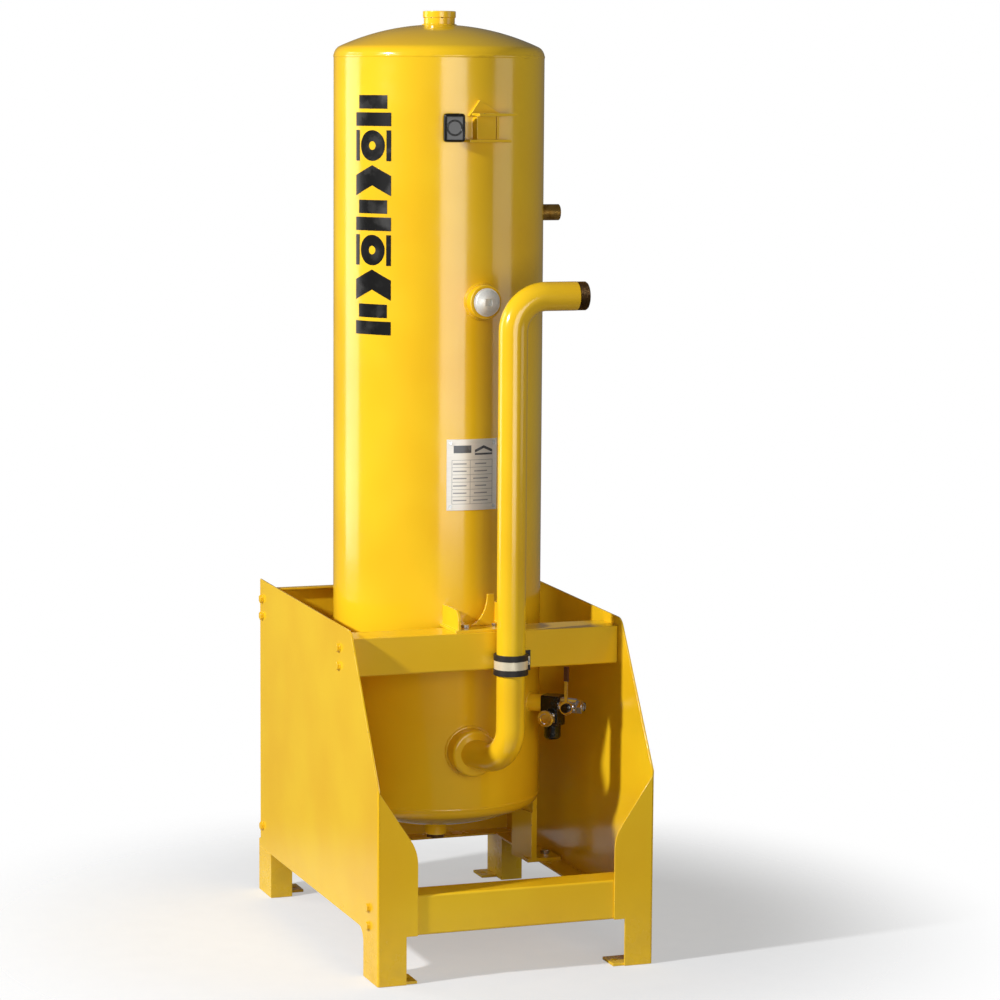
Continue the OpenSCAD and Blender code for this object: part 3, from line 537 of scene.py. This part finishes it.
for node, edge_mm in EDGE_MM.items():
    finished(node, edge_mm, material=MATERIAL_OF_NODE.get(node))

# The shell's quarters as one tube, without the faces between them
shell = join("rolled_shell", [merged_copy(node) for node in SHELL])
pick(shell)
bpy.ops.object.mode_set(mode="EDIT")
bpy.ops.mesh.select_all(action="SELECT")
bpy.ops.mesh.remove_doubles(threshold=1e-5)
bpy.ops.mesh.select_all(action="DESELECT")
bpy.ops.mesh.select_interior_faces()
bpy.ops.mesh.delete(type="FACE")
bpy.ops.object.mode_set(mode="OBJECT")
coated(smooth(shell, 35), PAINTED)
for node in SHELL:
    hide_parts(node)

BEND_R = 5 * MM
for side in ("left", "right"):
    finished(side + "_side_panel", 0.7, fold=(panel_bend(side), BEND_R))
for rail in ("top_rail", "bottom_rail"):
    finished(rail, 0.7, fold=(long_bend(rail, 0, (1, 2)), BEND_R))
finished("rear_panel", 0.7)


# Weld beads: a rippled torus laid along the foot of each socket
RIPPLE_MM = 4.5


def bead(name, r, width, rise, surface_drop, matrix):
    """Rippled weld bead round a socket of radius r; surface_drop(x, y) bends it to the wall."""
    deselect()
    around = 160
    bpy.ops.mesh.primitive_torus_add(major_segments=around, minor_segments=8, major_radius=r,
                                     minor_radius=width / 2)
    obj = named(name)
    ripples = round(2 * math.pi * r / (RIPPLE_MM * MM))
    for v in obj.data.vertices:
        turn = math.atan2(v.co.y, v.co.x)
        wave = 1 + 0.1 * math.sin(ripples * turn)
        out = Vector((math.cos(turn), math.sin(turn)))
        off = (v.co.xy.length - r) * wave
        v.co = (out.x * (r + off), out.y * (r + off),
                v.co.z * wave * rise / (width / 2) + surface_drop(out.x * r, out.y * r))
    return smooth(place(obj, matrix), 60)


def shell_drop(x, y):
    """Depth of the shell behind its tangent plane, x round the tank."""
    return math.sqrt(TANK_R ** 2 - x * x) - TANK_R


def socket_radius(node):
    low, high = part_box(node)
    return (high[2] - low[2]) / 2


beads = []
for node, width in (("inspection_socket", 8), ("gauge_socket", 6), ("inlet_boss", 9),
                    ("port_socket", 6)):
    angle, z = bearing(node)
    beads.append(bead("weld", socket_radius(node), width * MM, 3 * MM, shell_drop, on_tank(angle, z)))
angle, z = bearing("side_socket")
beads.append(bead("weld", socket_radius("side_socket"), 6 * MM, 3 * MM, shell_drop,
                  on_tank(90, z)))
top_r = 33 * MM
beads.append(bead("weld", top_r + 1 * MM, 8 * MM, 3 * MM, lambda x, y: 0,
                  Matrix.Translation((0, TANK_Y, CROWN - 1.5 * MM))))
coated(join("socket_welds", beads), PAINTED)

# Girth seams where the heads meet the shell, and the shell's lengthwise seam at the back
seams = []
seam_r = TANK_R - 1.2 * MM
for z in (shell_low[2], shell_high[2]):
    deselect()
    bpy.ops.mesh.primitive_torus_add(major_segments=360, minor_segments=8,
                                     major_radius=seam_r, minor_radius=4 * MM)
    ring = named("seam")
    for v in ring.data.vertices:
        turn = math.atan2(v.co.y, v.co.x)
        off = v.co.xy.length - seam_r
        wave = 1 + 0.12 * math.sin(300 * turn)
        r = seam_r + off * 0.5 * wave
        v.co = (r * math.cos(turn), r * math.sin(turn), v.co.z * 1.1)
    seams.append(smooth(place(ring, Matrix.Translation((0, TANK_Y, z))), 60))
coated(join("girth_seams", seams), PAINTED)

deselect()
bpy.ops.mesh.primitive_grid_add(x_subdivisions=8, y_subdivisions=500, size=1)
BACK_SEAM_W = 9 * MM
back_seam = place(named("lengthwise_seam"),
                  Matrix.Diagonal((BACK_SEAM_W, shell_high[2] - shell_low[2], 1, 1)))
for v in back_seam.data.vertices:
    rise = math.cos(math.pi * v.co.x / BACK_SEAM_W)
    wave = 1 + 0.15 * math.sin(v.co.y / (RIPPLE_MM * MM) * 2 * math.pi)
    v.co.z = 1.3 * MM * rise * wave - 0.4 * MM
wrapped(back_seam, 164, (shell_low[2] + shell_high[2]) / 2, 0)
coated(smooth(back_seam, 60), PAINTED)


# ---- Threads ----

def thread_profile(r_crest, r_root, low, high, pitch):
    """Zigzag of thread ridges from low to high."""
    points = [(r_root, low)]
    z = low
    while z + pitch < high:
        points += [(r_crest, z + pitch * 0.38), (r_crest, z + pitch * 0.56), (r_root, z + pitch)]
        z += pitch
    return points + [(r_root, high)]


PIPE_PITCH = 2.309 * MM
PIPE_WALL = 2.9 * MM
SIDE_PITCH, SIDE_CREST_R, SIDE_ROOT_R = 1.814 * MM, 11.0 * MM, 12.1 * MM
THREAD_SKIN = 0.1 * MM
low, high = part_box("pipe_end_nipple")
end_r, end_l = (high[2] - low[2]) / 2, high[0] - low[0]
pipe_low, pipe_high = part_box("pipe_run_out")
wall_r = (pipe_high[2] - pipe_low[2]) / 2 - PIPE_WALL
profile = thread_profile(end_r, end_r - 1.3 * MM, 0, end_l - 1 * MM, PIPE_PITCH)
profile += [(wall_r + 1.0 * MM, end_l), (wall_r, end_l), (wall_r, 0), profile[0]]
thread = turned("pipe_thread", profile)
outwards(thread)
place(thread, Matrix.Translation((low[0], (low[1] + high[1]) / 2, (low[2] + high[2]) / 2))
      @ Matrix.Rotation(math.pi / 2, 4, "Y"))
coated(smooth(thread, 30), DARK_STEEL, ROOT, SLOT_OF["pipe_end_nipple"])
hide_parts("pipe_end_nipple")

# Female threads inside the open sockets
low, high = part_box("top_socket")
bore_r = 28.3 * MM
inner = turned("top_socket_thread",
               thread_profile(bore_r - 1.2 * MM, bore_r + 0.1 * MM, high[2] - 27 * MM,
                              high[2] - 1.5 * MM, PIPE_PITCH))
modified(inner, "SOLIDIFY", thickness=THREAD_SKIN, offset=-1)
place(inner, Matrix.Translation((0, TANK_Y, 0)))
coated(smooth(outwards(inner), 30), DARK_STEEL, ROOT, "dark_steel")

low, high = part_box("side_socket")
inner = turned("side_socket_thread",
               thread_profile(SIDE_CREST_R, SIDE_ROOT_R, high[0] - 24 * MM, high[0] - 1 * MM,
                              SIDE_PITCH), steps=64)
modified(inner, "SOLIDIFY", thickness=THREAD_SKIN, offset=-1)
place(inner, Matrix.Translation((0, (low[1] + high[1]) / 2, (low[2] + high[2]) / 2))
      @ Matrix.Rotation(math.pi / 2, 4, "Y"))
coated(smooth(outwards(inner), 30), BRASS, ROOT, SLOT_OF["side_socket"])


# ---- Marking: a plain stack of bars, chevrons and rings ----

def slab(name, w, h, x=0.0, y=0.0, columns=12, rows=1):
    """Thin flat plate in XY, cut in strips so that it can be wrapped."""
    deselect()
    bpy.ops.mesh.primitive_grid_add(x_subdivisions=columns, y_subdivisions=rows, size=1)
    obj = place(named(name), Matrix.Translation((x, y, 0)) @ Matrix.Diagonal((w, h, 1, 1)))
    return obj


def thickened(obj, thick):
    pick(obj)
    bpy.ops.object.mode_set(mode="EDIT")
    bpy.ops.mesh.select_all(action="SELECT")
    bpy.ops.mesh.normals_make_consistent(inside=False)
    bpy.ops.mesh.extrude_region_shrink_fatten(TRANSFORM_OT_shrink_fatten={"value": thick})
    bpy.ops.mesh.select_all(action="SELECT")
    bpy.ops.mesh.normals_make_consistent(inside=False)
    bpy.ops.object.mode_set(mode="OBJECT")
    return obj


def chevron(w, h, y, rise):
    obj = slab("tile", w, h, 0, y, columns=24)
    for v in obj.data.vertices:
        v.co.y += rise * (1 - abs(v.co.x) / (w / 2)) - rise / 2
    return obj


def ring_tile(r_out, r_in, y):
    deselect()
    bpy.ops.mesh.primitive_circle_add(vertices=48, radius=r_out, fill_type="NOTHING")
    obj = named("tile")
    pick(obj)
    bpy.ops.object.mode_set(mode="EDIT")
    bpy.ops.mesh.select_all(action="SELECT")
    bpy.ops.mesh.extrude_edges_indiv()
    bpy.ops.transform.resize(value=(r_in / r_out, r_in / r_out, 1), center_override=(0, 0, 0))
    bpy.ops.object.mode_set(mode="OBJECT")
    return place(obj, Matrix.Translation((0, y, 0)))


mark_low, mark_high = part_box("marking")
mark_angle, mark_z = bearing("marking")
mark_h = mark_high[2] - mark_low[2]
mark_w = 94 * MM
tile_h, tile_gap = 64 * MM, 8.5 * MM
FILM_T, FILM_LIFT = 0.45 * MM, 0.15 * MM
tiles = []
y = -mark_h / 2
for kind in ("bars", "chevron", "ring", "bars", "chevron", "ring", "bars"):
    mid = y + tile_h / 2
    if kind == "bars":
        tiles.append(slab("tile", mark_w, tile_h * 0.44, 0, mid - tile_h * 0.28))
        tiles.append(slab("tile", mark_w * 0.8, tile_h * 0.44, 0, mid + tile_h * 0.28))
    elif kind == "chevron":
        tiles.append(chevron(mark_w, tile_h * 0.66, mid, tile_h * 0.34))
    else:
        tiles.append(ring_tile(tile_h * 0.5, tile_h * 0.14, mid))
        for end in (-1, 1):
            tiles.append(slab("tile", mark_w / 2 - tile_h * 0.56, tile_h,
                              end * (mark_w / 4 + tile_h * 0.28), mid, columns=4))
    y += tile_h + tile_gap
marking = join("marking_shapes", [thickened(tile, FILM_T) for tile in tiles])
wrapped(marking, mark_angle, mark_z, FILM_LIFT)
coated(smooth(outwards(marking), 30), BLACK_FILM, ROOT, "black_vinyl")
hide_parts("marking")

# Print on the data plate: frame, table cells and blocks, no lettering
plate_low, plate_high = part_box("data_plate")
plate_angle, plate_z = bearing("data_plate")
plate_h = plate_high[2] - plate_low[2]
plate_w = 112 * MM
INK, PLATE_FACE = 0.12 * MM, 1.28 * MM
grey, dark = [], []
for x in (-1, 1):
    grey.append(slab("ink", 1 * MM, plate_h * 0.62, x * plate_w * 0.4, -plate_h * 0.1, columns=1))
for i in range(7):
    grey.append(slab("ink", plate_w * 0.8, 0.9 * MM, 0, -plate_h * 0.41 + i * plate_h * 0.103))
grey.append(slab("ink", 0.9 * MM, plate_h * 0.62, -plate_w * 0.05, -plate_h * 0.1, columns=1))
for i in range(6):
    row = -plate_h * 0.36 + i * plate_h * 0.103
    for x, w in ((-0.25, 0.26), (0.16, 0.3 - 0.035 * (i % 3))):
        grey.append(slab("ink", plate_w * w, 2.6 * MM, plate_w * x, row, columns=4))
dark.append(slab("ink", plate_w * 0.34, 16 * MM, -plate_w * 0.2, plate_h * 0.36, columns=6))
dark.append(chevron(plate_w * 0.36, 6 * MM, plate_h * 0.36, 9 * MM))
place(dark[-1], Matrix.Translation((plate_w * 0.22, 0, 0)))
dark.append(slab("ink", plate_w * 0.36, 4 * MM, plate_w * 0.22, plate_h * 0.29, columns=6))
for name, inks, material in (("plate_print_grey", grey, GREY_INK),
                             ("plate_print_dark", dark, DARK_INK)):
    ink = join(name, [thickened(piece, INK) for piece in inks])
    wrapped(ink, plate_angle, plate_z, PLATE_FACE)
    coated(smooth(outwards(ink), 30), material, ROOT, "black_vinyl")


# ---- Washers under the frame's bolt heads ----

def washer(r_out, r_in, t):
    obj = turned("washer", [(r_in, 0), (r_out - 0.4 * MM, 0), (r_out, 0.4 * MM), (r_out, t - 0.4 * MM),
                            (r_out - 0.4 * MM, t), (r_in, t), (r_in, 0)], steps=40)
    return outwards(obj)


def bolt_heads(node):
    """Middle of each solid of a bolt node, on the panel's face."""
    obj = merged_copy(node)
    pick(obj)
    bpy.ops.object.mode_set(mode="EDIT")
    bpy.ops.mesh.separate(type="LOOSE")
    bpy.ops.object.mode_set(mode="OBJECT")
    parts = list(bpy.context.selected_objects)
    mids = []
    for part in parts:
        corners = [Vector(c) for c in part.bound_box]
        mids.append(sum(corners, Vector()) / 8)
        bpy.data.objects.remove(part)
    return mids


for side, outward in (("left", -1), ("right", 1)):
    face_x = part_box(side + "_side_panel")[0 if outward < 0 else 1][0]
    rings = []
    master = washer(10 * MM, 5 * MM, 1.6 * MM)
    for mid in bolt_heads(side + "_frame_bolts"):
        turn = Matrix.Rotation(outward * math.pi / 2, 4, "Y")
        rings.append(copied(master, Matrix.Translation((face_x, mid.y, mid.z)) @ turn))
    bpy.data.objects.remove(master)
    coated(smooth(join(side + "_washers", rings)), PAINTED, ROOT, "painted_bolts")


# ---- Knurled plug of the drain block, modelled fresh for its grip ----

def gripped_plug():
    """Round chrome plug with a knurled rim and a recessed face, along +Z."""
    flats_r, hex_h, cap_r, cap_h = 16 / math.cos(math.pi / 6) * MM, 8 * MM, 18 * MM, 13 * MM
    collar = capped(turned("collar", [(flats_r, 0), (flats_r, hex_h)], steps=6))
    softened(collar, 0.8 * MM)
    edge = 1.6 * MM
    cap = turned("cap", [(cap_r - edge, hex_h), (cap_r, hex_h + edge), (cap_r, hex_h + cap_h - edge),
                         (cap_r - edge, hex_h + cap_h), (cap_r * 0.62, hex_h + cap_h),
                         (cap_r * 0.56, hex_h + cap_h - 1.6 * MM)], steps=120)
    capped(cap)
    for v in cap.data.vertices:
        ridge = round(math.atan2(v.co.y, v.co.x) / (2 * math.pi / 120)) % 4
        if v.co.xy.length > cap_r - edge / 2 and ridge == 0:
            v.co.x *= 0.94
            v.co.y *= 0.94
    shank = capped(turned("shank", [(7.95 * MM, -8 * MM), (7.95 * MM, 0.2 * MM)], steps=48))
    return join("gripped_plug", [cap, collar, shank])


BLOCK_HALF_W = 20 * MM
plug = gripped_plug()
turn = bearing("drain_block")[0]
block_z = bearing("block_plug")[1]
low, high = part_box("drain_block")
block_r = math.hypot((low[0] + high[0]) / 2, (low[1] + high[1]) / 2 - TANK_Y)
a = math.radians(turn)
block_mid = Vector((0, TANK_Y, block_z)) + block_r * Vector((math.sin(a), -math.cos(a), 0))
side_dir = Vector((-math.cos(a), -math.sin(a), 0))
m = Matrix((Vector((math.sin(a), -math.cos(a), 0)), Vector((0, 0, -1)), side_dir)).transposed().to_4x4()
m.translation = block_mid + side_dir * BLOCK_HALF_W
if m.to_3x3().determinant() < 0:
    m = m @ Matrix.Diagonal((1, -1, 1, 1))
place(plug, m)
coated(smooth(outwards(plug)), CHROME, ROOT, "chrome_plate")
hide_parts("block_plug")


# ---- Cap of the gauge port: a moulded pillow with a raised ring on its face ----

cap_angle, cap_z = bearing("gauge_cap")
cap_low, cap_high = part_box("gauge_cap")
CAP_W, CAP_H, CAP_T = 46 * MM, cap_high[2] - cap_low[2], 20 * MM
CAP_OUT = 24 * MM
deselect()
bpy.ops.mesh.primitive_cube_add(size=1)
pillow = place(named("pillow"), Matrix.Diagonal((CAP_W, CAP_H, CAP_T, 1)))
modified(pillow, "BEVEL", width=7 * MM, segments=3, limit_method="NONE")
modified(pillow, "SUBSURF", levels=2, render_levels=2)
deselect()
bpy.ops.mesh.primitive_torus_add(major_segments=64, minor_segments=12, major_radius=15 * MM,
                                 minor_radius=2 * MM)
rim = place(named("rim"), Matrix.Translation((0, 0, CAP_T / 2 - 0.8 * MM)))
gauge_cap = place(join("gauge_cap_moulding", [pillow, rim]), on_tank(cap_angle, cap_z, CAP_OUT))
coated(smooth(gauge_cap, 50), BLACK_PLASTIC, ROOT, "black_plastic")
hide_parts("gauge_cap")


# ---- Studio ----

deselect()
bpy.ops.mesh.primitive_plane_add(size=60, location=(0, 0, -0.0005))
floor = named("studio_floor")
floor.data.materials.append(floor_paper())


def aimed(obj, at, target):
    obj.location = at
    obj.rotation_euler = (Vector(target) - Vector(at)).to_track_quat("-Z", "Y").to_euler()


def softbox(name, watts, width, height, at, target, colour="#FFFFFF"):
    lamp = bpy.data.lights.new(name, "AREA")
    lamp.shape, lamp.size, lamp.size_y = "RECTANGLE", width, height
    lamp.energy, lamp.color = watts, srgb(colour)[:3]
    obj = bpy.data.objects.new(name, lamp)
    bpy.context.collection.objects.link(obj)
    aimed(obj, at, target)


# A small key far round to the left throws crisp shadows; the strips fill and give reflections
softbox("key", 505, 0.35, 0.35, (-5.85, -1.35, 3.6), (0, 0, 0.9))
softbox("front_strip", 60, 2.2, 2.2, (-0.2, -4.4, 1.4), (0, 0, 1.4))
softbox("right_panel", 14, 1.6, 2.0, (3.2, -2.2, 1.6), (0, 0, 1.3))
softbox("rim_strip", 33, 1.5, 2.6, (-2.79, 2.03, 1.6), (0, 0, 1.1))

world = bpy.data.worlds.new("studio_light")
world.use_nodes = True
bpy.context.scene.world = world
bpy.context.scene.view_settings.view_transform = "Standard"
nodes, links = world.node_tree.nodes, world.node_tree.links
nodes.clear()
path = nodes.new("ShaderNodeLightPath")
fill, backdrop = (nodes.new("ShaderNodeBackground") for _ in range(2))
fill.inputs["Strength"].default_value = 0.13
backdrop.inputs["Strength"].default_value = 1.0
for background in (fill, backdrop):
    background.inputs["Color"].default_value = srgb("#FFFFFF")
mix, out = nodes.new("ShaderNodeMixShader"), nodes.new("ShaderNodeOutputWorld")
links.new(path.outputs["Is Camera Ray"], mix.inputs[0])
links.new(fill.outputs[0], mix.inputs[1])
links.new(backdrop.outputs[0], mix.inputs[2])
links.new(mix.outputs[0], out.inputs[0])

# Camera at the front left, above the tank's middle, turned a trace to the side
AZIMUTH, ELEVATION, ROLL = 19.806, 7.029, 0.396
DISTANCE, TARGET = 7.112, Vector((0.1156, 0, 0.9272))
camera = bpy.data.cameras.new("camera")
camera.lens, camera.sensor_width = 118.76, 36.0
camera.clip_start, camera.clip_end = 0.1, 100
view_from = bpy.data.objects.new("camera", camera)
bpy.context.collection.objects.link(view_from)
az, el = math.radians(AZIMUTH), math.radians(ELEVATION)
back = Vector((-math.sin(az) * math.cos(el), -math.cos(az) * math.cos(el), math.sin(el)))
view_from.location = TARGET + back * DISTANCE
view_from.rotation_mode = "QUATERNION"
view_from.rotation_quaternion = (-back).to_track_quat("-Z", "Y") @ Matrix.Rotation(
    math.radians(ROLL), 3, "Z").to_quaternion()
bpy.context.scene.camera = view_from
